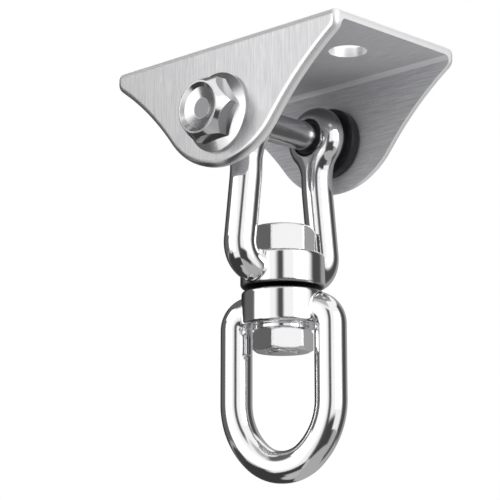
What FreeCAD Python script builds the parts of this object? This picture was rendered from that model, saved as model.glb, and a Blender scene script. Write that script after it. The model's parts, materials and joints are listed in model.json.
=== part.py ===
import FreeCAD, Part
import math
import os
from FreeCAD import Vector

# Swinging ceiling hanger, in millimetres, +Z up
# The origin is the centre of the face that lies against the ceiling. X runs along the bracket, Y along
# the pivot bolt with its head at -Y, and the hanger hangs towards -Z.

# Bracket, a folded steel channel with two rounded lugs
bracket_length = 80.0
bracket_width = 47.0
sheet_thickness = 2.5
bend_inside_radius = 1.5
bend_outside_radius = 2.0
lug_depth = 32.8
lug_end_radius = 24.0
lug_shoulder_depth = 3.0
lug_shoulder_radius = 3.0
lug_flank_radius = 90.0
lug_edge_round = 1.6
screw_hole = 10.0
screw_spacing = 47.0

# Pivot bolt, with a flanged head and a dished top
pivot_drop = 19.1
pivot_diameter = 7.8
pivot_hole_clearance = 0.2
head_flats = 15.2
head_height = 7.9
head_lip_radius = 6.9
head_lip_width = 0.45
head_shoulder_slope = 60.0
head_turn = 4.6
flange_diameter = 20.8
flange_rim = 0.9
flange_slope = 20.0
dish_step = 0.8
dish_floor_radius = 5.4
dish_depth = 1.6
dish_flat_radius = 2.7

# Flanged lock nut, its nylon ring, and how far the bolt comes through
nut_flats = 13.0
nut_flange_diameter = 17.9
nut_flange_rim = 1.1
nut_hex_height = 7.6
nut_crown_height = 2.6
nut_crown_diameter = 12.2
nut_crown_lip = 0.5
nylon_ring_height = 1.9
nylon_ring_diameter = 10.4
thread_clearance = 0.05
bolt_tip_length = 2.2
bolt_tip_chamfer = 0.8
thread_core_diameter = 6.6

# Nylon bushes, one in each eye of the jaw
bush_wall = 1.0
bush_flange_diameter = 19.0
bush_flange_thickness = 2.9
bush_edge = 0.35
bush_recess = 0.5
bush_fit = 0.02
pivot_running_clearance = 0.08
bush_side_clearance = 0.3

# Jaw, forged from round bar: two eyes, two limbs, one collar
bar_diameter = 8.4
eye_width = 8.4
eye_diameter = 17.6
eye_land = 0.05
eye_bore_edge = 0.35
neck_radius = 8.0
limb_splay = 6.85
limb_straight = 0.5
limb_bend_radius = 30.0
jaw_corner_radius = 5.6
web_hollow = 1.0
web_drop = 0.3
web_overlap = 0.05
jaw_collar_diameter = 22.2
jaw_collar_drop = 34.0
jaw_collar_height = 8.8
jaw_arm_rise = 0.1
collar_round = 1.0
collar_gap = 0.9

# Swivel pin and its nut
pin_diameter = 8.0
pin_running_clearance = 0.08
pin_head_flats = 15.0
pin_head_height = 7.3
pin_nut_flats = 14.0
pin_nut_height = 5.6
hex_chamfer = 30.0
pin_end_length = 0.4
pin_turn = -66.5

# Load eye, a long closed bow under its own collar
bow_turn = 18.0
bow_collar_diameter = 21.6
bow_collar_height = 9.1
bow_boss_diameter = 15.0
bow_boss_height = 1.1
bow_arm_drop = 4.8
bow_spacing = 27.0
bow_shoulder_radius = 4.5
bow_side_length = 19.4
bow_side_radius = 19.0
bow_bottom_radius = 11.0

# Overrun of the cutting tools, and the reach within which two places count as one
cut_past = 1.0
touching = 0.01

# Sizes that follow from the ones above
half_length = bracket_length / 2
half_width = bracket_width / 2
lug_inner_face = half_width - sheet_thickness
bar_radius = bar_diameter / 2
pivot_radius = pivot_diameter / 2
bush_bore_radius = pivot_radius + pivot_running_clearance
bush_radius = bush_bore_radius + bush_wall
eye_bore_radius = bush_radius + bush_fit
bush_outer_face = lug_inner_face - bush_side_clearance
eye_outer_face = bush_outer_face - bush_flange_thickness
eye_centre = eye_outer_face - eye_width / 2
eye_radius = eye_diameter / 2
eye_round = min(eye_width / 2, bar_radius) - eye_land
neck_end = math.sqrt((eye_radius + neck_radius) ** 2 - (bar_radius + neck_radius) ** 2)
limb_bend_depth = neck_end + limb_straight + limb_bend_radius * math.tan(math.radians(limb_splay / 2))
pivot_level = -pivot_drop
jaw_collar_top = pivot_level - jaw_collar_drop
jaw_collar_bottom = jaw_collar_top - jaw_collar_height
jaw_arm_level = (jaw_collar_top + jaw_collar_bottom) / 2 + jaw_arm_rise
bow_collar_top = jaw_collar_bottom - collar_gap
bow_collar_bottom = bow_collar_top - bow_collar_height
nut_seat = bow_collar_bottom - bow_boss_height
bow_arm_level = bow_collar_top - bow_arm_drop
pin_bore_radius = pin_diameter / 2 + pin_running_clearance
jaw_arm_root = (pin_bore_radius + jaw_collar_diameter / 2) / 2
bow_arm_root = (pin_bore_radius + bow_collar_diameter / 2) / 2
nut_height = nut_hex_height + nut_crown_height

ACROSS = Vector(0, 1, 0)
UP = Vector(0, 0, 1)


def turned(points):
    """Solid of revolution about Z from a closed outline of (radius, height) points."""
    outline = Part.makePolygon([Vector(r, 0, z) for r, z in points + points[:1]])
    return Part.Face(outline).revolve(Vector(0, 0, 0), UP, 360)


def hex_prism(flats, bottom, top):
    """Hexagonal prism along Z with a corner on +X."""
    corner_radius = flats / math.sqrt(3)
    corners = [Vector(corner_radius * math.cos(math.radians(60 * i)),
                      corner_radius * math.sin(math.radians(60 * i)), bottom) for i in range(7)]
    return Part.Face(Part.makePolygon(corners)).extrude(Vector(0, 0, top - bottom))


def tangent_wire(points, radii):
    """Open wire of straight runs through the points, each inner corner rounded by its radius."""
    edges = []
    start = points[0]
    for before, corner, after, radius in zip(points, points[1:], points[2:], radii):
        inward = (before - corner).normalize()
        onward = (after - corner).normalize()
        half_angle = inward.getAngle(onward) / 2
        setback = radius / math.tan(half_angle)
        middle = (inward + onward).normalize() * (radius / math.sin(half_angle) - radius)
        first, last = corner + inward * setback, corner + onward * setback
        edges.append(Part.makeLine(start, first))
        edges.append(Part.Arc(first, corner + middle, last).toShape())
        start = last
    edges.append(Part.makeLine(start, points[-1]))
    return Part.Wire(edges)


def swept_bar(path):
    """Round bar along a wire of lines and tangent arcs, one straight or bent length for each."""
    lengths = []
    for edge in path.OrderedEdges:
        start, direction = edge.valueAt(edge.FirstParameter), edge.tangentAt(edge.FirstParameter)
        section = Part.Face(Part.Wire(Part.makeCircle(bar_radius, start, direction)))
        if isinstance(edge.Curve, Part.Line):
            lengths.append(section.extrude(edge.valueAt(edge.LastParameter) - start))
        else:
            angle = math.degrees(edge.LastParameter - edge.FirstParameter)
            lengths.append(section.revolve(edge.Curve.Center, edge.Curve.Axis, angle))
    return lengths[0].fuse(lengths[1:])


def mirrored(point):
    return Vector(-point.x, point.y, point.z)


def lug_outline():
    """Side view of the bracket in XZ: shoulders, hollow flanks and a round lower end."""
    end_centre = Vector(0, 0, lug_end_radius - lug_depth)
    shoulder = Vector(half_length - lug_shoulder_radius, 0, -lug_shoulder_depth)
    span = shoulder - end_centre
    to_end = lug_flank_radius + lug_end_radius
    to_shoulder = lug_flank_radius + lug_shoulder_radius
    along = (to_end ** 2 - to_shoulder ** 2 + span.Length ** 2) / (2 * span.Length)
    aside = math.sqrt(to_end ** 2 - along ** 2)
    direction = Vector(span).normalize()
    flank_centre = end_centre + direction * along + ACROSS.cross(direction) * aside
    end_tangent = end_centre + (flank_centre - end_centre).normalize() * lug_end_radius
    shoulder_tangent = shoulder + (flank_centre - shoulder).normalize() * lug_shoulder_radius
    halfway = (end_tangent + shoulder_tangent) / 2
    flank_middle = flank_centre + (halfway - flank_centre).normalize() * lug_flank_radius
    side = shoulder + Vector(lug_shoulder_radius, 0, 0)
    bulge = (shoulder_tangent - shoulder + side - shoulder).normalize() * lug_shoulder_radius
    shoulder_middle = shoulder + bulge

    top_right = Vector(half_length, 0, 0)
    lowest = Vector(0, 0, -lug_depth)
    return Part.Wire([
        Part.makeLine(mirrored(top_right), top_right),
        Part.makeLine(top_right, side),
        Part.Arc(side, shoulder_middle, shoulder_tangent).toShape(),
        Part.Arc(shoulder_tangent, flank_middle, end_tangent).toShape(),
        Part.Arc(end_tangent, lowest, mirrored(end_tangent)).toShape(),
        Part.Arc(mirrored(end_tangent), mirrored(flank_middle), mirrored(shoulder_tangent)).toShape(),
        Part.Arc(mirrored(shoulder_tangent), mirrored(shoulder_middle), mirrored(side)).toShape(),
        Part.makeLine(mirrored(side), mirrored(top_right))])


def channel(width, height, radius):
    """Solid prism along X whose two upper edges are rounded, standing from -height to the top."""
    block = Part.makeBox(bracket_length, width, height, Vector(-half_length, -width / 2, -height))
    upper = [e for e in block.Edges if e.BoundBox.ZMin > -height / 2 and e.BoundBox.YLength < touching]
    return block.makeFillet(radius, upper)


def make_bracket():
    outside = channel(bracket_width, lug_depth, bend_outside_radius)
    inside = channel(2 * lug_inner_face, lug_depth, bend_inside_radius)
    inside.translate(Vector(0, 0, -sheet_thickness))
    side_view = Part.Face(lug_outline()).extrude(ACROSS * bracket_width)
    side_view.translate(ACROSS * -half_width)
    folded = outside.cut(inside).common(side_view)
    rim = [e for e in folded.Edges if on_outside(e) and e.BoundBox.XLength < bracket_length - touching]
    bracket = folded.makeFillet(lug_edge_round, rim)
    for x in (-screw_spacing / 2, screw_spacing / 2):
        bracket = bracket.cut(Part.makeCylinder(screw_hole / 2, sheet_thickness + 2 * cut_past,
                                                Vector(x, 0, -sheet_thickness - cut_past)))
    bolt_hole = Part.makeCylinder(pivot_radius + pivot_hole_clearance, bracket_width + 2 * cut_past,
                                  Vector(0, -half_width - cut_past, pivot_level), ACROSS)
    return bracket.cut(bolt_hole)


def on_outside(edge):
    """True where the middle of an edge lies on the outer surface of the folded channel."""
    middle = edge.valueAt((edge.FirstParameter + edge.LastParameter) / 2)
    beside = max(0.0, abs(middle.y) - (half_width - bend_outside_radius))
    above = max(0.0, middle.z + bend_outside_radius)
    return abs(math.hypot(beside, above) - bend_outside_radius) < touching


def make_pivot_bolt():
    """Bolt along Z with the flange's seat at height 0 and the head above it. Its bare tip is at the
    core of the thread, which stands on it in scene.py."""
    flange_radius = flange_diameter / 2
    corner_radius = head_flats / math.sqrt(3)
    cone_rise = flange_radius * math.tan(math.radians(flange_slope))
    flange = turned([(0, 0), (flange_radius, 0), (flange_radius, flange_rim), (0, flange_rim + cone_rise)])
    shoulder_drop = (corner_radius - head_lip_radius) * math.tan(math.radians(head_shoulder_slope))
    envelope = turned([(0, 0), (corner_radius, 0), (corner_radius, head_height - shoulder_drop),
                       (head_lip_radius, head_height), (0, head_height)])
    hexagon = hex_prism(head_flats, 0, head_height).common(envelope)
    dish_lip = head_lip_radius - head_lip_width
    dish = turned([(0, head_height + cut_past), (dish_lip, head_height + cut_past), (dish_lip, head_height),
                   (dish_floor_radius, head_height - dish_step),
                   (dish_flat_radius, head_height - dish_depth), (0, head_height - dish_depth)])
    nut_end = -bracket_width - nut_height
    tip = nut_end - bolt_tip_length
    core_radius = thread_core_diameter / 2
    shank = turned([(0, 0), (pivot_radius, 0), (pivot_radius, nut_end), (core_radius, nut_end),
                    (core_radius, tip + bolt_tip_chamfer), (core_radius - bolt_tip_chamfer, tip), (0, tip)])
    bolt = flange.fuse(hexagon).cut(dish).fuse(shank).removeSplitter()
    bolt.rotate(Vector(0, 0, 0), UP, head_turn)
    bolt.rotate(Vector(0, 0, 0), Vector(1, 0, 0), 90)
    bolt.translate(Vector(0, -half_width, pivot_level))
    return bolt


def on_far_lug(shape):
    """Stand a piece that is built along Z on the outer face of the far lug, on the pivot's line."""
    shape.rotate(Vector(0, 0, 0), Vector(1, 0, 0), -90)
    shape.translate(Vector(0, half_width, pivot_level))
    return shape


def make_lock_nut():
    nut_flange_radius = nut_flange_diameter / 2
    cone_rise = nut_flange_radius * math.tan(math.radians(flange_slope))
    flange = turned([(0, 0), (nut_flange_radius, 0), (nut_flange_radius, nut_flange_rim),
                     (0, nut_flange_rim + cone_rise)])
    corner_radius = nut_flats / math.sqrt(3)
    chamfer_drop = (corner_radius - nut_flats / 2) * math.tan(math.radians(hex_chamfer))
    chamfer = turned([(0, 0), (corner_radius, 0), (corner_radius, nut_hex_height - chamfer_drop),
                      (nut_flats / 2, nut_hex_height), (0, nut_hex_height)])
    hexagon = hex_prism(nut_flats, 0, nut_hex_height).common(chamfer)
    crown_radius = nut_crown_diameter / 2
    crown = turned([(0, 0), (crown_radius, 0), (crown_radius, nut_height - nut_crown_lip),
                    (crown_radius - nut_crown_lip, nut_height), (0, nut_height)])
    ring_top = nut_height - nut_crown_lip
    ring_radius = nylon_ring_diameter / 2
    seat = Part.makeCylinder(ring_radius, nylon_ring_height, Vector(0, 0, ring_top - nylon_ring_height))
    mouth = Part.makeCylinder(ring_radius - nut_crown_lip, nut_height, Vector(0, 0, ring_top))
    bore = Part.makeCylinder(pivot_radius + thread_clearance, nut_height)
    return on_far_lug(flange.fuse(hexagon).fuse(crown).cut(seat).cut(mouth).cut(bore).removeSplitter())


def make_nylon_ring():
    top = nut_height - nut_crown_lip
    bottom = top - nylon_ring_height
    bore = pivot_radius + thread_clearance
    outer = nylon_ring_diameter / 2
    return on_far_lug(turned([(bore, bottom), (outer, bottom), (outer, top), (bore, top)]))


def make_bush(side):
    """Flanged bush with its flange between one eye and its lug; side is -1 near the bolt's head."""
    flange_radius = bush_flange_diameter / 2
    inner_end = eye_outer_face - eye_width + bush_recess
    bush = turned([(bush_bore_radius, inner_end), (bush_radius - bush_edge, inner_end),
                   (bush_radius, inner_end + bush_edge), (bush_radius, eye_outer_face),
                   (flange_radius - bush_edge, eye_outer_face),
                   (flange_radius, eye_outer_face + bush_edge),
                   (flange_radius, bush_outer_face - bush_edge),
                   (flange_radius - bush_edge, bush_outer_face), (bush_bore_radius, bush_outer_face)])
    bush.rotate(Vector(0, 0, 0), Vector(1, 0, 0), -90 * side)
    bush.translate(Vector(0, 0, pivot_level))
    return bush


def collar(diameter, top, height):
    """Collar on the swivel's line, with both outer edges rounded."""
    body = Part.makeCylinder(diameter / 2, height, Vector(0, 0, top - height))
    return body.makeFillet(collar_round, [e for e in body.Edges if e.Closed])


def pin_bore(shape, top, bottom):
    return shape.cut(Part.makeCylinder(pin_bore_radius, top - bottom + 2 * cut_past,
                                       Vector(0, 0, bottom - cut_past)))


def limb_centre(level):
    """Y of the middle of the +Y limb at a level: plumb beside the eye, then splayed outwards."""
    below = max(0.0, pivot_level - limb_bend_depth - level)
    return eye_centre + below * math.tan(math.radians(limb_splay))


def limb():
    """One limb on the +Y side, from the neck of its eye round the corner into the collar."""
    bend = pivot_level - limb_bend_depth
    path = tangent_wire([Vector(0, eye_centre, pivot_level - neck_end), Vector(0, eye_centre, bend),
                         Vector(0, limb_centre(jaw_arm_level), jaw_arm_level),
                         Vector(0, jaw_arm_root, jaw_arm_level)],
                        [limb_bend_radius, jaw_corner_radius])
    return swept_bar(path)


def eye():
    """Eye on the +Y side, as round in section as the bar, drawn in to the limb by two hollow flanks."""
    hollow_centre = Vector(bar_radius + neck_radius, 0, -neck_end)
    on_eye = hollow_centre * (eye_radius / (eye_radius + neck_radius))
    on_limb = Vector(bar_radius, 0, -neck_end)
    hollow = hollow_centre + ((on_eye + on_limb) / 2 - hollow_centre).normalize() * neck_radius
    outline = Part.Wire([
        Part.Arc(mirrored(on_eye), Vector(0, 0, eye_radius), on_eye).toShape(),
        Part.Arc(on_eye, hollow, on_limb).toShape(),
        Part.makeLine(on_limb, mirrored(on_limb)),
        Part.Arc(mirrored(on_limb), mirrored(hollow), mirrored(on_eye)).toShape()])
    blank = Part.Face(outline).extrude(ACROSS * eye_width)
    blank.translate(Vector(0, eye_centre - eye_width / 2, pivot_level))
    rims = [e for e in blank.Edges if e.BoundBox.YLength < touching < e.BoundBox.ZLength]
    return blank.makeFillet(eye_round, rims)


def eye_bore():
    """What is drilled out of one eye, with both mouths of the bore opened by a small chamfer."""
    end = eye_width / 2 + cut_past
    mouth = eye_bore_radius + eye_bore_edge + cut_past
    straight = eye_width / 2 - eye_bore_edge
    drill = turned([(0, -end), (mouth, -end), (eye_bore_radius, -straight),
                    (eye_bore_radius, straight), (mouth, end), (0, end)])
    drill.rotate(Vector(0, 0, 0), Vector(1, 0, 0), -90)
    drill.translate(Vector(0, eye_centre, pivot_level))
    return drill


def web_section(level):
    """Outline at one level of the web, with a hollow on each side between the collar and the limb."""
    collar_radius = jaw_collar_diameter / 2 - web_overlap
    limb_radius = bar_radius - web_overlap
    middle, limb_middle = Vector(0, 0, level), Vector(0, limb_centre(level), level)
    distance = limb_middle.y
    radius = web_hollow + max(0.0, distance - collar_radius - limb_radius)
    to_collar, to_limb = collar_radius + radius, limb_radius + radius
    along = (to_collar ** 2 - to_limb ** 2 + distance ** 2) / (2 * distance)
    centre = Vector(math.sqrt(to_collar ** 2 - along ** 2), along, level)
    on_collar = middle + (centre - middle).normalize() * collar_radius
    on_limb = limb_middle + (centre - limb_middle).normalize() * limb_radius
    hollow = centre + ((on_collar + on_limb) / 2 - centre).normalize() * radius
    return Part.Wire([
        Part.Arc(on_collar, hollow, on_limb).toShape(),
        Part.makeLine(on_limb, mirrored(on_limb)),
        Part.Arc(mirrored(on_limb), mirrored(hollow), mirrored(on_collar)).toShape(),
        Part.makeLine(mirrored(on_collar), on_collar)])


def web():
    """What the forging leaves in the narrow corner between the +Y limb and the collar."""
    return Part.makeLoft([web_section(jaw_arm_level), web_section(jaw_collar_top - web_drop)], True, True)


def make_jaw():
    half = limb().fuse([eye(), web()]).cut(eye_bore())
    other = half.mirror(Vector(0, 0, 0), ACROSS)
    body = collar(jaw_collar_diameter, jaw_collar_top, jaw_collar_height)
    return pin_bore(body.fuse([half, other]).removeSplitter(), jaw_collar_top, jaw_collar_bottom)


def chamfered_hex(flats, bottom, top, top_edge, bottom_edge):
    """Hexagon along Z whose corners are turned down at the top, the bottom or both."""
    corner_radius = flats / math.sqrt(3)
    drop = (corner_radius - flats / 2) * math.tan(math.radians(hex_chamfer))
    inscribed = flats / 2
    low = high = []
    if bottom_edge:
        low = [(inscribed, bottom), (corner_radius, bottom + drop)]
    if top_edge:
        high = [(corner_radius, top - drop), (inscribed, top)]
    low = low or [(corner_radius, bottom)]
    high = high or [(corner_radius, top)]
    return hex_prism(flats, bottom, top).common(turned([(0, bottom)] + low + high + [(0, top)]))


def make_swivel_pin():
    head = chamfered_hex(pin_head_flats, jaw_collar_top, jaw_collar_top + pin_head_height, True, False)
    end = nut_seat - pin_nut_height - pin_end_length
    radius = pin_diameter / 2
    shank = turned([(0, jaw_collar_top + cut_past), (radius, jaw_collar_top + cut_past),
                    (radius, end + pin_end_length), (radius - pin_end_length, end), (0, end)])
    pin = head.fuse(shank)
    pin.rotate(Vector(0, 0, 0), UP, pin_turn)
    return pin


def make_swivel_nut():
    bottom = nut_seat - pin_nut_height
    nut = chamfered_hex(pin_nut_flats, bottom, nut_seat, True, True)
    bore_radius = pin_diameter / 2 + thread_clearance
    nut = nut.cut(Part.makeCylinder(bore_radius, pin_nut_height, Vector(0, 0, bottom)))
    nut.rotate(Vector(0, 0, 0), UP, pin_turn)
    return nut


def bow_half():
    """The +X half of the load eye's bar: arm, shoulder, straight side and half of the round bottom."""
    side = bow_spacing / 2
    spring = bow_arm_level - bow_shoulder_radius - bow_side_length
    side_centre = Vector(side - bow_side_radius, 0, spring)
    reach = math.sqrt((bow_side_radius - bow_bottom_radius) ** 2 - side_centre.x ** 2)
    bottom_centre = Vector(0, 0, spring - reach)
    toward = (bottom_centre - side_centre).normalize()
    side_middle = side_centre + (Vector(1, 0, 0) + toward).normalize() * bow_side_radius
    join = side_centre + toward * bow_side_radius
    bottom_middle = bottom_centre + (toward - UP).normalize() * bow_bottom_radius
    spring_point = Vector(side, 0, spring)
    corner = Vector(side, 0, bow_arm_level)
    arm = tangent_wire([Vector(bow_arm_root, 0, bow_arm_level), corner, spring_point], [bow_shoulder_radius])
    return swept_bar(Part.Wire(arm.Edges + [
        Part.Arc(spring_point, side_middle, join).toShape(),
        Part.Arc(join, bottom_middle, bottom_centre - UP * bow_bottom_radius).toShape()]))


def make_load_eye():
    half = bow_half()
    boss = Part.makeCylinder(bow_boss_diameter / 2, bow_collar_height, Vector(0, 0, nut_seat))
    body = collar(bow_collar_diameter, bow_collar_top, bow_collar_height)
    body = body.fuse([boss, half, half.mirror(Vector(0, 0, 0), Vector(1, 0, 0))]).removeSplitter()
    body = pin_bore(body, bow_collar_top, nut_seat)
    body.rotate(Vector(0, 0, 0), UP, bow_turn)
    return body


def save(name, shape):
    shape.exportStep("parts/" + name + ".step")
    box = shape.BoundBox
    print(name, "solids", len(shape.Solids), "valid", shape.isValid(), "volume", round(shape.Volume, 1),
          "z", round(box.ZMin, 2), round(box.ZMax, 2))


os.makedirs("parts", exist_ok=True)
save("bracket", make_bracket())
save("pivot_bolt", make_pivot_bolt())
save("lock_nut", make_lock_nut())
save("nylon_ring", make_nylon_ring())
save("near_bush", make_bush(-1))
save("far_bush", make_bush(1))
save("jaw", make_jaw())
save("swivel_pin", make_swivel_pin())
save("swivel_nut", make_swivel_nut())
save("load_eye", make_load_eye())
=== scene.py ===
import bpy
import json
import math
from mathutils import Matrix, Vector


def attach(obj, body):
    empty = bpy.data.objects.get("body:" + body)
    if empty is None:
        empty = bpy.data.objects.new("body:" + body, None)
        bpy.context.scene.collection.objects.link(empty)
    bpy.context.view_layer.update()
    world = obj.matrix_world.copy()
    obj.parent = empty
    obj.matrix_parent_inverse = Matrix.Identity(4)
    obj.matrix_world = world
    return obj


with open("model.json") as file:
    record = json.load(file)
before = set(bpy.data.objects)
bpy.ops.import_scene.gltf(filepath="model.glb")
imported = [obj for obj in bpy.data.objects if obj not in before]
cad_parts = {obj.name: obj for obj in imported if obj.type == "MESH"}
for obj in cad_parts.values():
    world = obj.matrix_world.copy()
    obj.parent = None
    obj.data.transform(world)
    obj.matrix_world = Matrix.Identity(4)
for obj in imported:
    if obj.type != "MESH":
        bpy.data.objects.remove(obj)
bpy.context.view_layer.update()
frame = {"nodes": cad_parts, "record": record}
nodes = frame["nodes"]
print("frame loaded:", len(nodes), "pieces")


# Camera, at the photograph's angle

cameraSettings = {
    "place": (0.31072, -0.32850, -0.14479),
    "yaw": 44.49,                      # degrees from +Y, turning left
    "rise": 11.65,                     # degrees, looking up
    "lens": 126.77,
    "sensor": 36.0,
    "sees": (0.01, 50),                # nearest and farthest, in metres
}


def makeCamera(settings):
    camera = bpy.data.cameras.new("camera")
    camera.lens = settings["lens"]
    camera.sensor_width = settings["sensor"]
    camera.clip_start, camera.clip_end = settings["sees"]
    holder = bpy.data.objects.new("camera", camera)
    bpy.context.scene.collection.objects.link(holder)
    holder.location = settings["place"]
    holder.rotation_euler = (math.radians(90 + settings["rise"]), 0, math.radians(settings["yaw"]))
    bpy.context.scene.camera = holder


makeCamera(cameraSettings)
bpy.context.scene.view_settings.view_transform = "Standard"
print("camera placed")


# Small helpers for node trees. inputs holds values for a node's own sockets, by label or number.

def addNode(tree, kind, place, inputs=None, **values):
    node = tree.nodes.new("ShaderNode" + kind)
    node.location = place
    for name, value in values.items():
        setattr(node, name, value)
    for label, value in (inputs or {}).items():
        node.inputs[label].default_value = value
    return node


def addMath(tree, operation, place, inputs=None, **values):
    return addNode(tree, "Math", place, inputs, operation=operation, **values)


def addRange(tree, place, source=(0.0, 1.0), target=(0.0, 1.0), **values):
    ends = {"From Min": source[0], "From Max": source[1], "To Min": target[0], "To Max": target[1]}
    return addNode(tree, "MapRange", place, ends, **values)


def mixColours(tree, place, **inputs):
    return addNode(tree, "Mix", place, inputs, data_type="RGBA")


def mixNumbers(tree, place, **inputs):
    return addNode(tree, "Mix", place, inputs, data_type="FLOAT")


def joinUp(tree, links):
    for source, target in links:
        tree.links.new(source, target)


def newMaterial(name):
    material = bpy.data.materials.new(name)
    material.use_nodes = True
    tree = material.node_tree
    tree.nodes.clear()
    shader = addNode(tree, "BsdfPrincipled", (600, 0))
    output = addNode(tree, "OutputMaterial", (900, 0))
    joinUp(tree, [(shader.outputs["BSDF"], output.inputs["Surface"])])
    return material, tree, shader


# A node group with named sockets, each a Float or a Vector
def newGroup(name, inputs, outputs):
    group = bpy.data.node_groups.new(name, "ShaderNodeTree")
    for direction, sockets in (("INPUT", inputs), ("OUTPUT", outputs)):
        for label, kind in sockets.items():
            group.interface.new_socket(label, in_out=direction, socket_type="NodeSocket" + kind)
    start = group.nodes.new("NodeGroupInput")
    end = group.nodes.new("NodeGroupOutput")
    start.location, end.location = (-900, 0), (900, 0)
    return group, start, end


def useGroup(tree, group, place, **inputs):
    return addNode(tree, "Group", place, inputs, node_tree=group)


# Effects that several finishes share

grainSettings = {
    "fine": {"Scale": 1.0, "Detail": 3.0, "Roughness": 0.6},
    "cloud": {"Scale": 70.0, "Detail": 2.0},
}


# Long fine scratches, drawn out along one direction by the stretch of the coordinates
def makeGrain(settings):
    group, start, end = newGroup(
        "steelGrain",
        {"Vector": "Vector", "Stretch": "Vector"},
        {"Grain": "Float", "Cloud": "Float"})
    stretch = addNode(group, "VectorMath", (-650, 0), operation="MULTIPLY")
    fine = addNode(group, "TexNoise", (-400, 150), settings["fine"])
    cloud = addNode(group, "TexNoise", (-400, -150), settings["cloud"])
    joinUp(group, [
        (start.outputs["Vector"], stretch.inputs[0]),
        (start.outputs["Stretch"], stretch.inputs[1]),
        (stretch.outputs[0], fine.inputs["Vector"]),
        (start.outputs["Vector"], cloud.inputs["Vector"]),
        (fine.outputs["Fac"], end.inputs["Grain"]),
        (cloud.outputs["Fac"], end.inputs["Cloud"])])
    return group


# How squarely the surface faces, from 0 to 1: where each mask starts, and where it is full
facingSettings = {
    "rounded": (0.995, 0.93),          # towards no axis squarely
    "turnedAside": (0.03, 0.12),       # towards the bracket's ends
    "wellAside": (0.2, 0.4),
    "facingOut": (0.62, 0.85),         # out across the bracket
}


# Masks for the sheet's rounded rims, its cut edges and its bends, told apart by how they face
def makeEdgeKinds(settings):
    group, start, end = newGroup(
        "edgeKinds",
        {"Normal": "Vector", "Height": "Float", "Plate From": "Float"},
        {"Rim": "Float", "Cut": "Float", "Bend": "Float"})
    size = addNode(group, "VectorMath", (-750, 0), operation="ABSOLUTE")
    split = addNode(group, "SeparateXYZ", (-580, 0))
    sideOrFront = addMath(group, "MAXIMUM", (-400, 300))
    largest = addMath(group, "MAXIMUM", (-230, 300))
    rounded = addRange(group, (-60, 300), settings["rounded"])
    turnedAside = addRange(group, (-400, 50), settings["turnedAside"])
    wellAside = addRange(group, (-400, -200), settings["wellAside"])
    facingOut = addRange(group, (-400, -450), settings["facingOut"])
    notOut = addMath(group, "SUBTRACT", (-150, -450), {0: 1.0})
    notAside = addMath(group, "SUBTRACT", (-150, 50), {0: 1.0})
    roundedAside = addMath(group, "MULTIPLY", (200, 250))
    rim = addMath(group, "MULTIPLY", (450, 250))
    bend = addMath(group, "MULTIPLY", (450, 0))
    cut = addMath(group, "MULTIPLY", (450, -250))
    onPlate = addMath(group, "GREATER_THAN", (-150, -650))
    sawnRim = addMath(group, "MULTIPLY", (200, -450))
    eitherCut = addMath(group, "MAXIMUM", (650, -250))
    joinUp(group, [
        (start.outputs["Normal"], size.inputs[0]),
        (size.outputs[0], split.inputs[0]),
        (split.outputs["X"], sideOrFront.inputs[0]),
        (split.outputs["Y"], sideOrFront.inputs[1]),
        (sideOrFront.outputs[0], largest.inputs[0]),
        (split.outputs["Z"], largest.inputs[1]),
        (largest.outputs[0], rounded.inputs["Value"]),
        (split.outputs["X"], turnedAside.inputs["Value"]),
        (split.outputs["X"], wellAside.inputs["Value"]),
        (split.outputs["Y"], facingOut.inputs["Value"]),
        (facingOut.outputs["Result"], notOut.inputs[1]),
        (turnedAside.outputs["Result"], notAside.inputs[1]),
        (rounded.outputs["Result"], roundedAside.inputs[0]),
        (turnedAside.outputs["Result"], roundedAside.inputs[1]),
        (roundedAside.outputs[0], rim.inputs[0]),
        (facingOut.outputs["Result"], rim.inputs[1]),
        (rounded.outputs["Result"], bend.inputs[0]),
        (notAside.outputs[0], bend.inputs[1]),
        (wellAside.outputs["Result"], cut.inputs[0]),
        (notOut.outputs[0], cut.inputs[1]),
        (start.outputs["Height"], onPlate.inputs[0]),
        (start.outputs["Plate From"], onPlate.inputs[1]),
        (onPlate.outputs[0], sawnRim.inputs[0]),
        (roundedAside.outputs[0], sawnRim.inputs[1]),
        (cut.outputs[0], eitherCut.inputs[0]),
        (sawnRim.outputs[0], eitherCut.inputs[1]),
        (rim.outputs[0], end.inputs["Rim"]),
        (eitherCut.outputs[0], end.inputs["Cut"]),
        (bend.outputs[0], end.inputs["Bend"])])
    return group


handlingSettings = {
    "smear": {"Detail": 4.0, "Distortion": 1.2},
    "wave": {"Detail": 1.0},
}


# Faint smears and slow waviness, as on a surface that was moulded or buffed and then handled
def makeHandling(settings):
    group, start, end = newGroup(
        "buffedSurface",
        {"Vector": "Vector", "Smear Scale": "Float", "Wave Scale": "Float"},
        {"Smear": "Float", "Wave": "Float"})
    smear = addNode(group, "TexNoise", (-300, 120), settings["smear"])
    wave = addNode(group, "TexNoise", (-300, -120), settings["wave"])
    joinUp(group, [
        (start.outputs["Vector"], smear.inputs["Vector"]),
        (start.outputs["Smear Scale"], smear.inputs["Scale"]),
        (start.outputs["Vector"], wave.inputs["Vector"]),
        (start.outputs["Wave Scale"], wave.inputs["Scale"]),
        (smear.outputs["Fac"], end.inputs["Smear"]),
        (wave.outputs["Fac"], end.inputs["Wave"])])
    return group


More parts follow.
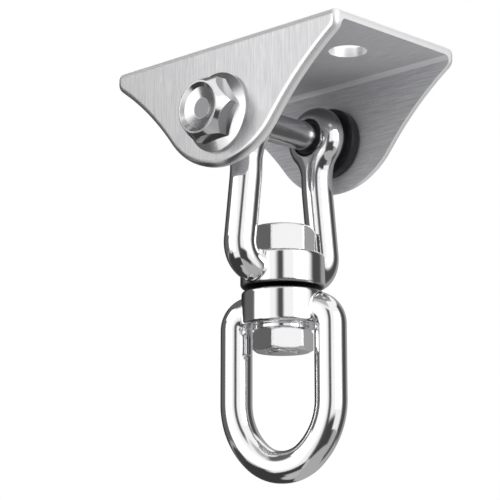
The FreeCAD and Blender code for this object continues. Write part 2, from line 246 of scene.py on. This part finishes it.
# 1 where one coordinate is within a reach of a level, fading out over a short way
def makeBand():
    group, start, end = newGroup(
        "softBand",
        {"Value": "Float", "Level": "Float", "Reach": "Float", "Fade": "Float"},
        {"Mask": "Float"})
    offset = addMath(group, "SUBTRACT", (-600, 0))
    away = addMath(group, "ABSOLUTE", (-400, 0))
    inside = addMath(group, "SUBTRACT", (-200, 0))
    share = addMath(group, "DIVIDE", (0, 0), use_clamp=True)
    joinUp(group, [
        (start.outputs["Value"], offset.inputs[0]),
        (start.outputs["Level"], offset.inputs[1]),
        (offset.outputs[0], away.inputs[0]),
        (start.outputs["Reach"], inside.inputs[0]),
        (away.outputs[0], inside.inputs[1]),
        (inside.outputs[0], share.inputs[0]),
        (start.outputs["Fade"], share.inputs[1]),
        (share.outputs[0], end.inputs["Mask"])])
    return group


scratchSettings = {
    "lines": {"Scale": 1.0, "Detail": 1.0},
    "where": {"Scale": 120.0, "Detail": 2.0},
    "thin": (0.66, 0.72),              # the part of the lines' noise that counts as a scratch
    "patches": (0.45, 0.65),
}


# Sparse short scratches, each a thin line where two stretched noises cross a level
def makeScratches(settings):
    group, start, end = newGroup(
        "fineScratches",
        {"Vector": "Vector", "Along": "Vector", "Amount": "Float"},
        {"Mask": "Float"})
    stretch = addNode(group, "VectorMath", (-750, 0), operation="MULTIPLY")
    lines = addNode(group, "TexNoise", (-550, 100), settings["lines"])
    where = addNode(group, "TexNoise", (-550, -150), settings["where"])
    thin = addRange(group, (-350, 100), settings["thin"])
    patches = addRange(group, (-350, -150), settings["patches"])
    both = addMath(group, "MULTIPLY", (0, 0))
    strength = addMath(group, "MULTIPLY", (250, 0))
    joinUp(group, [
        (start.outputs["Vector"], stretch.inputs[0]),
        (start.outputs["Along"], stretch.inputs[1]),
        (stretch.outputs[0], lines.inputs["Vector"]),
        (start.outputs["Vector"], where.inputs["Vector"]),
        (lines.outputs["Fac"], thin.inputs["Value"]),
        (where.outputs["Fac"], patches.inputs["Value"]),
        (thin.outputs["Result"], both.inputs[0]),
        (patches.outputs["Result"], both.inputs[1]),
        (both.outputs[0], strength.inputs[0]),
        (start.outputs["Amount"], strength.inputs[1]),
        (strength.outputs[0], end.inputs["Mask"])])
    return group


# 1 within a disc about an axis along Y, where Y is less than Before: for the as-forged middle of
# the bolt's head, and for the painted shade on top of the jaw's eyes
def makeDisc():
    group, start, end = newGroup(
        "softDisc",
        {"Vector": "Vector", "Middle": "Vector", "Radius": "Float", "Fade": "Float", "Before": "Float"},
        {"Mask": "Float"})
    offset = addNode(group, "VectorMath", (-700, 0), operation="SUBTRACT")
    flat = addNode(group, "VectorMath", (-520, 0), {1: (1, 0, 1)}, operation="MULTIPLY")
    away = addNode(group, "VectorMath", (-340, 0), operation="LENGTH")
    inside = addMath(group, "SUBTRACT", (-160, 0))
    share = addMath(group, "DIVIDE", (20, 0), use_clamp=True)
    split = addNode(group, "SeparateXYZ", (-340, -250))
    before = addMath(group, "LESS_THAN", (-160, -250))
    both = addMath(group, "MULTIPLY", (250, 0))
    joinUp(group, [
        (start.outputs["Vector"], offset.inputs[0]),
        (start.outputs["Middle"], offset.inputs[1]),
        (offset.outputs[0], flat.inputs[0]),
        (flat.outputs[0], away.inputs[0]),
        (start.outputs["Radius"], inside.inputs[0]),
        (away.outputs["Value"], inside.inputs[1]),
        (inside.outputs[0], share.inputs[0]),
        (start.outputs["Fade"], share.inputs[1]),
        (start.outputs["Vector"], split.inputs[0]),
        (split.outputs["Y"], before.inputs[0]),
        (start.outputs["Before"], before.inputs[1]),
        (share.outputs[0], both.inputs[0]),
        (before.outputs[0], both.inputs[1]),
        (both.outputs[0], end.inputs["Mask"])])
    return group


# 1 on a board, falling off over the given shares of it at its four borders
def makeSoftBorder():
    group, start, end = newGroup(
        "softBorder",
        {"Left": "Float", "Right": "Float", "Low": "Float", "High": "Float"},
        {"Mask": "Float"})
    place = addNode(group, "TexCoord", (-1100, 0))
    split = addNode(group, "SeparateXYZ", (-900, 0))
    joinUp(group, [(place.outputs["UV"], split.inputs[0])])
    last = None
    for step, (label, axis, turned) in enumerate((("Left", "X", False), ("Right", "X", True),
                                                  ("Low", "Y", False), ("High", "Y", True))):
        row = -220 * step
        away = split.outputs[axis]
        if turned:
            rest = addMath(group, "SUBTRACT", (-700, row), {0: 1.0})
            joinUp(group, [(away, rest.inputs[1])])
            away = rest.outputs[0]
        rise = addRange(group, (-450, row), interpolation_type="SMOOTHSTEP")
        joinUp(group, [(away, rise.inputs["Value"]), (start.outputs[label], rise.inputs["From Max"])])
        if last is None:
            last = rise.outputs["Result"]
            continue
        both = addMath(group, "MULTIPLY", (-150 + 200 * step, row))
        joinUp(group, [(last, both.inputs[0]), (rise.outputs["Result"], both.inputs[1])])
        last = both.outputs[0]
    joinUp(group, [(last, end.inputs["Mask"])])
    return group


steelGrain = makeGrain(grainSettings)
fineScratches = makeScratches(scratchSettings)
softDisc = makeDisc()
softBorder = makeSoftBorder()
softBand = makeBand()
edgeKinds = makeEdgeKinds(facingSettings)
buffedSurface = makeHandling(handlingSettings)
print("shared effects ready")


# Brushed sheet steel of the bracket: grain runs up the outside of the lugs and along the inside,
# where the sheet is duller. The rims are rubbed smooth and the cut edges are as sawn; rims, cut
# edges and bends are also coloured near white, a painted highlight along the sheet's edges and fold.

brushedSettings = {
    "outsideDark": (0.62, 0.62, 0.63, 1),
    "outsideLight": (0.78, 0.78, 0.79, 1),
    "insideDark": (0.62, 0.62, 0.64, 1),
    "insideLight": (0.80, 0.80, 0.82, 1),
    "outsideRoughness": (0.34, 0.46),
    "insideRoughness": (0.74, 0.84),
    "metal": (0.7, 1.0),               # inside, where a thin oxide film scatters light, and outside
    # Near-white colours of rims, cut edges and bends: a painted highlight; their roughness is the real
    # finish.
    "rim": {"colour": (0.95, 0.95, 0.95, 1), "roughness": 0.22},
    "cut": {"colour": (0.97, 0.97, 0.97, 1), "roughness": 0.5},
    "bend": {"colour": (0.98, 0.98, 0.99, 1), "roughness": 0.6},
    "plateFrom": -0.0027,              # above this height a rim is as sawn, as in the screw holes
    "outsideFrom": 0.0222,             # metres from the middle, across the bracket
    "outsideStretch": (3600, 3600, 160),   # fine across the grain, and slow along it
    "insideStretch": (160, 3600, 3600),
    "grainRange": (0.32, 0.68),        # the part of the grain's noise that spans dark to light
    "scratchColour": (0.95, 0.95, 0.95, 1),
    "scratchStretch": (1800, 1800, 260),
    "scratches": 0.5,
    "bumpDepth": 0.000012,
    "bumpStrength": 0.35,
}


def brushedSteel(settings):
    material, tree, shader = newMaterial("brushedSteel")
    shader.location = (950, 0)
    tree.nodes["Material Output"].location = (1250, 0)
    place = addNode(tree, "TexCoord", (-1500, 0))
    outside = useGroup(tree, steelGrain, (-1200, 300), Stretch=settings["outsideStretch"])
    inside = useGroup(tree, steelGrain, (-1200, 50), Stretch=settings["insideStretch"])
    split = addNode(tree, "SeparateXYZ", (-1200, -200))
    across = addMath(tree, "ABSOLUTE", (-1020, -200))
    isOutside = addMath(tree, "GREATER_THAN", (-850, -200), {1: settings["outsideFrom"]})
    grain = mixNumbers(tree, (-650, 150))
    kinds = useGroup(tree, edgeKinds, (-650, -420), **{"Plate From": settings["plateFrom"]})
    scratches = useGroup(tree, fineScratches, (-650, -650), Along=settings["scratchStretch"],
                         Amount=settings["scratches"])
    sharper = addRange(tree, (-450, 200), settings["grainRange"])
    colours, glosses = {}, {}
    for side, row in (("inside", 0), ("outside", 250)):
        colours[side] = mixColours(tree, (-250, 400 + row), A=settings[side + "Dark"],
                                   B=settings[side + "Light"])
        glosses[side] = addRange(tree, (-250, -50 - row), target=settings[side + "Roughness"])
    face = mixColours(tree, (-50, 500))
    marked = mixColours(tree, (120, 400), B=settings["scratchColour"])
    roughness = mixNumbers(tree, (-50, -100))
    metal = addRange(tree, (250, -200), target=settings["metal"])
    bump = addNode(tree, "Bump", (250, -500),
                   {"Strength": settings["bumpStrength"], "Distance": settings["bumpDepth"]})
    joinUp(tree, [
        (place.outputs["Object"], outside.inputs["Vector"]),
        (place.outputs["Object"], inside.inputs["Vector"]),
        (place.outputs["Object"], scratches.inputs["Vector"]),
        (place.outputs["Object"], split.inputs[0]),
        (place.outputs["Normal"], kinds.inputs["Normal"]),
        (split.outputs["Z"], kinds.inputs["Height"]),
        (split.outputs["Y"], across.inputs[0]),
        (across.outputs[0], isOutside.inputs[0]),
        (isOutside.outputs[0], grain.inputs["Factor"]),
        (inside.outputs["Grain"], grain.inputs["A"]),
        (outside.outputs["Grain"], grain.inputs["B"]),
        (grain.outputs["Result"], sharper.inputs["Value"]),
        (sharper.outputs["Result"], colours["inside"].inputs["Factor"]),
        (sharper.outputs["Result"], colours["outside"].inputs["Factor"]),
        (isOutside.outputs[0], face.inputs["Factor"]),
        (colours["inside"].outputs["Result"], face.inputs["A"]),
        (colours["outside"].outputs["Result"], face.inputs["B"]),
        (face.outputs["Result"], marked.inputs["A"]),
        (scratches.outputs["Mask"], marked.inputs["Factor"]),
        (outside.outputs["Cloud"], glosses["inside"].inputs["Value"]),
        (outside.outputs["Cloud"], glosses["outside"].inputs["Value"]),
        (isOutside.outputs[0], roughness.inputs["Factor"]),
        (glosses["inside"].outputs["Result"], roughness.inputs["A"]),
        (glosses["outside"].outputs["Result"], roughness.inputs["B"]),
        (isOutside.outputs[0], metal.inputs["Value"]),
        (metal.outputs["Result"], shader.inputs["Metallic"]),
        (grain.outputs["Result"], bump.inputs["Height"]),
        (bump.outputs["Normal"], shader.inputs["Normal"])])
    colour, gloss = marked.outputs["Result"], roughness.outputs["Result"]
    # Tint rims, cut edges and bends near white: a painted highlight along the sheet's edges and fold.
    for column, kind in enumerate(("bend", "rim", "cut")):
        tint = mixColours(tree, (300 + 170 * column, 350), B=settings[kind]["colour"])
        polish = mixNumbers(tree, (300 + 170 * column, 50), B=settings[kind]["roughness"])
        mask = kinds.outputs[kind.capitalize()]
        joinUp(tree, [
            (mask, tint.inputs["Factor"]),
            (colour, tint.inputs["A"]),
            (mask, polish.inputs["Factor"]),
            (gloss, polish.inputs["A"])])
        colour, gloss = tint.outputs["Result"], polish.outputs["Result"]
    joinUp(tree, [(colour, shader.inputs["Base Color"]), (gloss, shader.inputs["Roughness"])])
    return material


# Bright steel: the forged jaw and load eye are buffed to a mirror, the bolt, pin and nuts are smooth
# as made. Each kind has one band of painted shade, coloured darker and made rougher, in metres along
# an axis: the collars' faces at the narrow gap between them are painted near black, and what is between
# the lugs, the bolt's shank, the pin and its nut, is painted darker. Each also has one round patch about
# the bolt's line: painted shade on top of the jaw's eyes, and the flat in the bolt's head, which is as
# forged.

brightSettings = {
    "smearScale": 90.0,
    "smearRange": (0.3, 0.7),          # the part of the smears that spans smooth to dull
    "waveScale": 160.0,
    "waveStrength": 0.25,
    "scratchStretch": (300, 2500, 2500),
    "edgeSamples": 6,
}
mirrorSettings = {
    **brightSettings,
    "name": "mirrorSteel",
    "colourDark": (0.87, 0.87, 0.88, 1),
    "colourLight": (0.92, 0.92, 0.93, 1),
    "roughness": (0.03, 0.075),
    "waveDepth": 0.00004,
    "edgeRadius": 0.0007,
    "scratches": 0.25,
    "axis": "Z",
    # Painted shade: the collars' faces at the narrow gap between them are coloured near black.
    "shadeBand": {"Level": -0.06235, "Reach": 0.0012, "Fade": 0.0007},
    "paintedShade": (0.03, 0.03, 0.03, 1),
    "dullRoughness": 0.45,
    # Painted shade: this patch colours the upward-facing tops of the jaw's eyes, about the bolt, dark
    # grey.
    "patch": {
        "disc": {"Middle": (0, 0, -0.0191), "Radius": 0.0115, "Fade": 0.002, "Before": 1.0},
        "facingUp": (0.0, 0.45),       # from this much upwards it starts, and from this much it is full
        "colour": (0.24, 0.24, 0.25, 1),
        "roughness": 0.14,
    },
}
fastenerSettings = {
    **brightSettings,
    "name": "fastenerSteel",
    "colourDark": (0.72, 0.72, 0.73, 1),
    "colourLight": (0.86, 0.86, 0.87, 1),
    "roughness": (0.13, 0.22),
    "waveDepth": 0.00003,
    "edgeRadius": 0.0002,
    "scratches": 0.4,
    "axis": "Y",
    # Painted shade: what is within 21 mm of the middle across the bracket, the bolt's shank between the
    # lugs, the pin and its nut, is coloured darker.
    "shadeBand": {"Level": 0.0, "Reach": 0.0212, "Fade": 0.0004},
    "paintedShade": (0.62, 0.62, 0.63, 1),
    "dullRoughness": 0.2,
    "patch": {
        "disc": {"Middle": (0, 0, -0.0191), "Radius": 0.0028, "Fade": 0.0002, "Before": -0.0245},
        "facingUp": None,              # whichever way the surface faces
        "colour": (0.36, 0.36, 0.37, 1),
        "roughness": 0.42,
    },
}


def brightSteel(settings):
    material, tree, shader = newMaterial(settings["name"])
    shader.inputs["Metallic"].default_value = 1.0
    place = addNode(tree, "TexCoord", (-1100, 0))
    handled = useGroup(tree, buffedSurface, (-800, 0),
                       **{"Smear Scale": settings["smearScale"], "Wave Scale": settings["waveScale"]})
    split = addNode(tree, "SeparateXYZ", (-900, -300))
    # The band paints shade into the colour: darker, and rougher, within its reach.
    shadeBand = useGroup(tree, softBand, (-650, -300), **settings["shadeBand"])
    scratches = useGroup(tree, fineScratches, (-650, 150), Along=settings["scratchStretch"],
                         Amount=settings["scratches"])
    worn = addMath(tree, "ADD", (-450, -50), use_clamp=True)
    bright = mixColours(tree, (-350, 250), A=settings["colourDark"], B=settings["colourLight"])
    colour = mixColours(tree, (-100, 200), B=settings["paintedShade"])
    gloss = addRange(tree, (-350, -50), settings["smearRange"], settings["roughness"])
    roughness = mixNumbers(tree, (-100, -50), B=settings["dullRoughness"])
    edge = addNode(tree, "Bevel", (-100, -450), {"Radius": settings["edgeRadius"]},
                   samples=settings["edgeSamples"])
    bump = addNode(tree, "Bump", (150, -300),
                   {"Strength": settings["waveStrength"], "Distance": settings["waveDepth"]})
    patch = settings["patch"]
    disc = useGroup(tree, softDisc, (-100, 500), **patch["disc"])
    tint = mixColours(tree, (150, 350), B=patch["colour"])
    rougher = mixNumbers(tree, (150, 50), B=patch["roughness"])
    mask = disc.outputs["Mask"]
    # On the mirror steel the patch is limited to what faces up: painted shade on top of the eyes.
    if patch["facingUp"]:
        facing = addNode(tree, "SeparateXYZ", (-300, 750))
        upward = addRange(tree, (-100, 750), patch["facingUp"], interpolation_type="SMOOTHSTEP")
        onTop = addMath(tree, "MULTIPLY", (60, 650))
        joinUp(tree, [
            (place.outputs["Normal"], facing.inputs[0]),
            (facing.outputs["Z"], upward.inputs["Value"]),
            (upward.outputs["Result"], onTop.inputs[0]),
            (mask, onTop.inputs[1])])
        mask = onTop.outputs[0]
    joinUp(tree, [
        (place.outputs["Object"], handled.inputs["Vector"]),
        (place.outputs["Object"], scratches.inputs["Vector"]),
        (place.outputs["Object"], split.inputs[0]),
        (place.outputs["Object"], disc.inputs["Vector"]),
        (split.outputs[settings["axis"]], shadeBand.inputs["Value"]),
        (handled.outputs["Smear"], bright.inputs["Factor"]),
        (bright.outputs["Result"], colour.inputs["A"]),
        (shadeBand.outputs["Mask"], colour.inputs["Factor"]),
        (handled.outputs["Smear"], worn.inputs[0]),
        (scratches.outputs["Mask"], worn.inputs[1]),
        (worn.outputs[0], gloss.inputs["Value"]),
        (gloss.outputs["Result"], roughness.inputs["A"]),
        (shadeBand.outputs["Mask"], roughness.inputs["Factor"]),
        (handled.outputs["Wave"], bump.inputs["Height"]),
        (edge.outputs["Normal"], bump.inputs["Normal"]),
        (mask, tint.inputs["Factor"]),
        (colour.outputs["Result"], tint.inputs["A"]),
        (mask, rougher.inputs["Factor"]),
        (roughness.outputs["Result"], rougher.inputs["A"]),
        (tint.outputs["Result"], shader.inputs["Base Color"]),
        (rougher.outputs["Result"], shader.inputs["Roughness"]),
        (bump.outputs["Normal"], shader.inputs["Normal"])])
    return material


# Nylon of the bushes and of the lock nut's ring

nylonSettings = {
    "smearScale": 220.0,
    "pebbleDepth": 0.00002,
    "pebbleDetail": 2.0,
    "pebbleStrength": 0.4,
}
blackNylonSettings = {
    **nylonSettings,
    "name": "blackNylon",
    "colourDark": (0.010, 0.010, 0.011, 1),
    "colourLight": (0.022, 0.022, 0.024, 1),
    "roughness": (0.24, 0.4),
    "pebbleScale": 2600.0,
}
paleNylonSettings = {
    **nylonSettings,
    "name": "paleNylon",
    "colourDark": (0.66, 0.66, 0.62, 1),
    "colourLight": (0.78, 0.78, 0.74, 1),
    "roughness": (0.4, 0.55),
    "pebbleScale": 2000.0,
}


def mouldedNylon(settings):
    material, tree, shader = newMaterial(settings["name"])
    place = addNode(tree, "TexCoord", (-900, 0))
    handled = useGroup(tree, buffedSurface, (-600, 100), **{"Smear Scale": settings["smearScale"]})
    pebble = addNode(tree, "TexNoise", (-600, -200),
                     {"Scale": settings["pebbleScale"], "Detail": settings["pebbleDetail"]})
    colour = mixColours(tree, (-200, 200), A=settings["colourDark"], B=settings["colourLight"])
    gloss = addRange(tree, (-200, -50), target=settings["roughness"])
    bump = addNode(tree, "Bump", (100, -300),
                   {"Strength": settings["pebbleStrength"], "Distance": settings["pebbleDepth"]})
    joinUp(tree, [
        (place.outputs["Object"], handled.inputs["Vector"]),
        (place.outputs["Object"], pebble.inputs["Vector"]),
        (handled.outputs["Smear"], colour.inputs["Factor"]),
        (handled.outputs["Smear"], gloss.inputs["Value"]),
        (pebble.outputs["Fac"], bump.inputs["Height"]),
        (colour.outputs["Result"], shader.inputs["Base Color"]),
        (gloss.outputs["Result"], shader.inputs["Roughness"]),
        (bump.outputs["Normal"], shader.inputs["Normal"])])
    return material


finishes = {
    "brushed_steel": brushedSteel(brushedSettings),
    "polished_steel": brightSteel(mirrorSettings),
    "fastener_steel": brightSteel(fastenerSettings),
    "black_nylon": mouldedNylon(blackNylonSettings),
    "pale_nylon": mouldedNylon(paleNylonSettings),
}


def dressNodes():
    for part in frame["record"]["subparts"]:
        piece = nodes[part["node"]]
        for slot in piece.material_slots:
            slot.material = finishes[part["material_slot"]]


dressNodes()
print("finishes given to", len(nodes), "pieces")


# Thread of the pivot bolt where it stands out of the lock nut: one ridge wound round the core

threadSettings = {
    "name": "bolt_tip_thread",
    "body": "hanger",
    "slot": "fastener_steel",
    "axis": (0, 0, -0.0191),           # a point on the bolt's line, which runs along Y
    "starts": 0.03372,
    "ends": 0.03562,
    "coreRadius": 0.0033,
    "crestRadius": 0.0039,
    "pitch": 0.00125,
    "foot": 0.00112,                   # width of the ridge where it meets the core
    "sink": 0.0001,                    # how far the ridge reaches into the core
    "turns": 4,                        # more than is needed, then cut off at both ends
    "steps": 48,                       # in each turn
    "chamferFrom": 0.0349,
    "chamferSlope": 0.8,
    "smoothUnder": 35,                 # degrees
}


def makeThread(settings):
    inner = settings["coreRadius"] - settings["sink"]
    tall = (settings["crestRadius"] - inner) / 1.5           # a circle of three points is 1.5 radii high
    wide = settings["foot"] / math.sqrt(3)                   # and the root of 3 radii wide
    bpy.ops.object.select_all(action="DESELECT")
    bpy.ops.mesh.primitive_circle_add(vertices=3, radius=1, fill_type="NOTHING", location=(0, 0, 0))
    thread = bpy.context.active_object
    thread.name = settings["name"]
    bpy.ops.object.mode_set(mode="EDIT")
    bpy.ops.mesh.select_all(action="SELECT")
    bpy.ops.transform.resize(value=(wide, tall, 1), center_override=(0, 0, 0))
    bpy.ops.transform.translate(value=(0, inner + tall / 2, 0))
    bpy.ops.object.mode_set(mode="OBJECT")
    winding = thread.modifiers.new("winding", "SCREW")
    winding.axis = "X"
    winding.screw_offset = settings["pitch"]
    winding.iterations = settings["turns"]
    winding.steps = winding.render_steps = settings["steps"]
    bpy.ops.object.modifier_apply(modifier=winding.name)
    thread.rotation_euler = (0, 0, math.pi / 2)
    x, y, z = settings["axis"]
    thread.location = (x, settings["starts"] - settings["pitch"], z)
    bpy.ops.object.transform_apply(location=True, rotation=True, scale=True)
    bpy.ops.object.mode_set(mode="EDIT")
    for level, beyond in ((settings["starts"], False), (settings["ends"], True)):
        bpy.ops.mesh.select_all(action="SELECT")
        bpy.ops.mesh.bisect(plane_co=(x, level, z), plane_no=(0, 1, 0), use_fill=True,
                            clear_inner=not beyond, clear_outer=beyond)
    bpy.ops.mesh.select_all(action="SELECT")
    bpy.ops.mesh.normals_make_consistent(inside=False)
    bpy.ops.object.mode_set(mode="OBJECT")
    for vertex in thread.data.vertices:
        across, up = vertex.co.x - x, vertex.co.z - z
        radius = math.hypot(across, up)
        past = max(0, vertex.co.y - settings["chamferFrom"])
        limit = settings["crestRadius"] - settings["chamferSlope"] * past
        if radius > limit:
            vertex.co.x, vertex.co.z = x + across * limit / radius, z + up * limit / radius
    bpy.ops.object.shade_smooth_by_angle(angle=math.radians(settings["smoothUnder"]))
    thread.data.materials.append(finishes[settings["slot"]])
    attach(thread, settings["body"])
    return thread


boltThread = makeThread(threadSettings)
print("thread on the bolt's tip:", len(boltThread.data.polygons), "faces")


# Studio: white surroundings, soft lamps, grey boards that only the metal mirrors, and a pale floor

hardEdge = 0.0001                      # share of a tray, so small that its border doesn't fade

# Angles are in degrees, seen from the middle of the object: turn from the camera's side, positive to
# the right, span round about, low and high above the horizon, and so are near and far, a tray's inner
# and outer borders. soft is how far in each border fades: for boards left, right, bottom and top, in
# degrees; for trays left and right, in degrees, then the outer and the inner, as shares of the tray.
studioSettings = {
    "worldFill": 0.75,
    "middle": (0, 0, -0.056),          # the point that boards, trays and lamps stand round
    "facetSpan": 6,                    # about how many degrees one facet covers
    "boardDistance": 1.5,
    "boardStep": 0.02,                 # where boards overlap, each stands this much behind the last
    "boards": [
        {"name": "stripByCamera", "turn": -9.5, "span": 30, "low": -27, "high": 36, "shade": 0.08,
         "soft": (14, 9, 6, 6)},
        {"name": "belowCamera", "turn": 12, "span": 58, "low": -27, "high": -6, "shade": 0.06,
         "soft": (14, 8, 2, 7)},
        {"name": "behindFarLeft", "turn": -149, "span": 58, "low": -15, "high": 34, "shade": 0.03,
         "soft": (4, 28, 4, 10)},
        {"name": "behindLeft", "turn": -130, "span": 110, "low": -15, "high": 46, "shade": 0.13,
         "soft": (8, 18, 4, 6)},
        {"name": "lowLeft", "turn": -116, "span": 126, "low": -27, "high": -10, "shade": 0.06,
         "soft": (6, 14, 2, 6)},
        {"name": "behindRight", "turn": 104, "span": 60, "low": -27, "high": 50, "shade": 0.075,
         "soft": (16, 18, 4, 8)},
        {"name": "behindObject", "turn": 151, "span": 84, "low": -27, "high": 50, "shade": 0.36,
         "soft": (16, 10, 2, 8)},
        {"name": "upperLeft", "turn": -112, "span": 142, "low": 28, "high": 66, "shade": 0.13,
         "soft": (6, 14, 6, 8)},
        {"name": "upperFront", "turn": -18, "span": 70, "low": 36, "high": 66, "shade": 0.5,
         "soft": (12, 16, 8, 8)},
    ],
    "trayLevel": -0.72,
    "trayStep": 0.01,                  # and each tray lies this much below the last
    "trays": [
        {"name": "trayFront", "turn": 18, "span": 82, "near": -42, "far": -23.5, "shade": 0.06,
         "soft": (12, 18, 0.12, 0.12)},
        {"name": "trayLeft", "turn": -126, "span": 130, "near": -72, "far": -23.5, "shade": 0.045,
         "soft": (4, 8, 0.05, 0.04)},
        {"name": "trayFrontLeft", "turn": -40, "span": 62, "near": -64, "far": -36, "shade": 0.045,
         "soft": (2, 8, 0.2, 0.1)},
        {"name": "trayBehindRight", "turn": 102, "span": 34, "near": -50, "far": -23.5, "shade": 0.1,
         "soft": (8, 8, 0.05, hardEdge)},
        {"name": "trayRight", "turn": 88, "span": 204, "near": -89, "far": -23.5, "shade": 0.43,
         "soft": (8, 4, 0.12, hardEdge)},
        {"name": "trayBelow", "turn": 0, "span": 360, "near": -89.5, "far": -58, "shade": 0.5,
         "soft": (0.01, 0.01, 0.2, hardEdge)},
    ],
    "lampDistance": 1.3,
    "lamps": [
        {"name": "keyLamp", "turn": -89, "rise": 27, "size": 0.38, "power": 0.62, "mirrored": True},
        {"name": "sideLamp", "turn": -62, "rise": 2, "size": 1.15, "power": 2.5, "mirrored": True},
        {"name": "fillLamp", "turn": 50, "rise": 14, "size": 0.9, "power": 6, "mirrored": True},
        {"name": "backLamp", "turn": 150, "rise": 30, "size": 0.9, "power": 6, "mirrored": False},
    ],
    "floorLevel": -0.8,
    "floorSize": 24.0,
    "floorColour": (0.86, 0.86, 0.86, 1),
    "floorRoughness": 0.8,
    "floorWhite": 0.88,                # how much of the floor's look is plain white; the rest takes shadow
}
studioMiddle = Vector(studioSettings["middle"])


# 1 for what the camera sees itself, in a mirror or through glass
def seenDirectly(tree, place):
    path = addNode(tree, "LightPath", (place[0] - 450, place[1]))
    first = addMath(tree, "MAXIMUM", (place[0] - 220, place[1]))
    second = addMath(tree, "MAXIMUM", place)
    joinUp(tree, [
        (path.outputs["Is Camera Ray"], first.inputs[0]),
        (path.outputs["Is Glossy Ray"], first.inputs[1]),
        (first.outputs[0], second.inputs[0]),
        (path.outputs["Is Transmission Ray"], second.inputs[1])])
    return second.outputs[0]


def makeWorld(settings):
    world = bpy.data.worlds.new("studio")
    bpy.context.scene.world = world
    world.use_nodes = True
    tree = world.node_tree
    tree.nodes.clear()
    seen = seenDirectly(tree, (-200, 0))
    strength = addRange(tree, (0, 0), target=(settings["worldFill"], 1.0))
    background = addNode(tree, "Background", (250, 0), {"Color": (1, 1, 1, 1)})
    output = addNode(tree, "OutputWorld", (450, 0))
    joinUp(tree, [
        (seen, strength.inputs["Value"]),
        (strength.outputs["Result"], background.inputs["Strength"]),
        (background.outputs[0], output.inputs["Surface"])])


def makeFloor(settings):
    bpy.ops.object.select_all(action="DESELECT")
    bpy.ops.mesh.primitive_plane_add(size=settings["floorSize"], location=(0, 0, settings["floorLevel"]))
    floor = bpy.context.active_object
    floor.name = "floor"
    material, tree, shader = newMaterial("paleFloor")
    shader.inputs["Base Color"].default_value = settings["floorColour"]
    shader.inputs["Roughness"].default_value = settings["floorRoughness"]
    white = addNode(tree, "Emission", (600, 250))
    share = addMath(tree, "MULTIPLY", (700, 450), {1: settings["floorWhite"]})
    blend = addNode(tree, "MixShader", (900, 200))
    output = tree.nodes["Material Output"]
    output.location = (1150, 0)
    joinUp(tree, [
        (seenDirectly(tree, (450, 450)), share.inputs[0]),
        (share.outputs[0], blend.inputs["Fac"]),
        (shader.outputs["BSDF"], blend.inputs[1]),
        (white.outputs[0], blend.inputs[2]),
        (blend.outputs[0], output.inputs["Surface"])])
    floor.data.materials.append(material)


# A board that only mirrors see, in one even grey that fades out at its borders
def paintBoard(board, shade, borders):
    material, tree, shader = newMaterial(board.name)
    tree.nodes.remove(shader)
    grey = addNode(tree, "Emission", (300, 100), {"Color": (shade, shade, shade, 1)})
    clear = addNode(tree, "BsdfTransparent", (300, 250))
    border = useGroup(tree, softBorder, (300, 400), **borders)
    blend = addNode(tree, "MixShader", (600, 250))
    joinUp(tree, [
        (border.outputs["Mask"], blend.inputs["Fac"]),
        (clear.outputs[0], blend.inputs[1]),
        (grey.outputs[0], blend.inputs[2]),
        (blend.outputs[0], tree.nodes["Material Output"].inputs["Surface"])])
    board.data.materials.append(material)
    board.visible_camera = board.visible_diffuse = board.visible_shadow = False
    board.visible_transmission = board.visible_volume_scatter = False


# A strip round the object, from one border to the other; each border is a distance and a height
def bendStrip(piece, facing, firstBorder, lastBorder):
    steps = max(2, round(piece["span"] / studioSettings["facetSpan"]))
    first = math.radians(facing + piece["turn"] - piece["span"] / 2)
    bpy.ops.object.select_all(action="DESELECT")
    bpy.ops.mesh.primitive_grid_add(x_subdivisions=steps, y_subdivisions=1, size=2)
    strip = bpy.context.active_object
    strip.name = piece["name"]
    for vertex in strip.data.vertices:
        angle = first + math.radians(piece["span"]) * (vertex.co.x + 1) / 2
        share = (vertex.co.y + 1) / 2
        away, height = (start + (end - start) * share for start, end in zip(firstBorder, lastBorder))
        vertex.co = studioMiddle + Vector((away * math.sin(angle), -away * math.cos(angle), height))
    return strip


# A curved board round the object, which covers the given degrees to the sides and up and down
def standBoard(piece, distance, facing):
    low, high = (distance * math.tan(math.radians(piece[border])) for border in ("low", "high"))
    board = bendStrip(piece, facing, (distance, low), (distance, high))
    left, right, below, above = piece["soft"]
    wide, tall = piece["span"], piece["high"] - piece["low"]
    paintBoard(board, piece["shade"],
               {"Left": left / wide, "Right": right / wide, "Low": below / tall, "High": above / tall})


# Part of a level ring under the object, between two angles below the horizon
def layTray(piece, level, facing):
    drop = studioMiddle.z - level
    inner, outer = (drop / math.tan(math.radians(-piece[border])) for border in ("near", "far"))
    tray = bendStrip(piece, facing, (inner, -drop), (outer, -drop))
    left, right, rim, hub = piece["soft"]
    paintBoard(tray, piece["shade"],
               {"Left": left / piece["span"], "Right": right / piece["span"], "Low": hub, "High": rim})


def hangLamp(lamp, distance, facing):
    light = bpy.data.lights.new(lamp["name"], "AREA")
    light.size = lamp["size"]
    light.energy = lamp["power"]
    holder = bpy.data.objects.new(lamp["name"], light)
    bpy.context.scene.collection.objects.link(holder)
    turn, rise = math.radians(facing + lamp["turn"]), math.radians(lamp["rise"])
    toLamp = Vector((math.sin(turn) * math.cos(rise), -math.cos(turn) * math.cos(rise), math.sin(rise)))
    holder.location = studioMiddle + toLamp * distance
    holder.rotation_euler = (-toLamp).to_track_quat("-Z", "Y").to_euler()
    holder.visible_glossy = lamp["mirrored"]


def buildStudio(settings, facing):
    makeWorld(settings)
    makeFloor(settings)
    for order, board in enumerate(settings["boards"]):
        standBoard(board, settings["boardDistance"] + settings["boardStep"] * order, facing)
    for order, tray in enumerate(settings["trays"]):
        layTray(tray, settings["trayLevel"] - settings["trayStep"] * order, facing)
    for lamp in settings["lamps"]:
        hangLamp(lamp, settings["lampDistance"], facing)


buildStudio(studioSettings, cameraSettings["yaw"])
print("studio ready")


print("scene built")
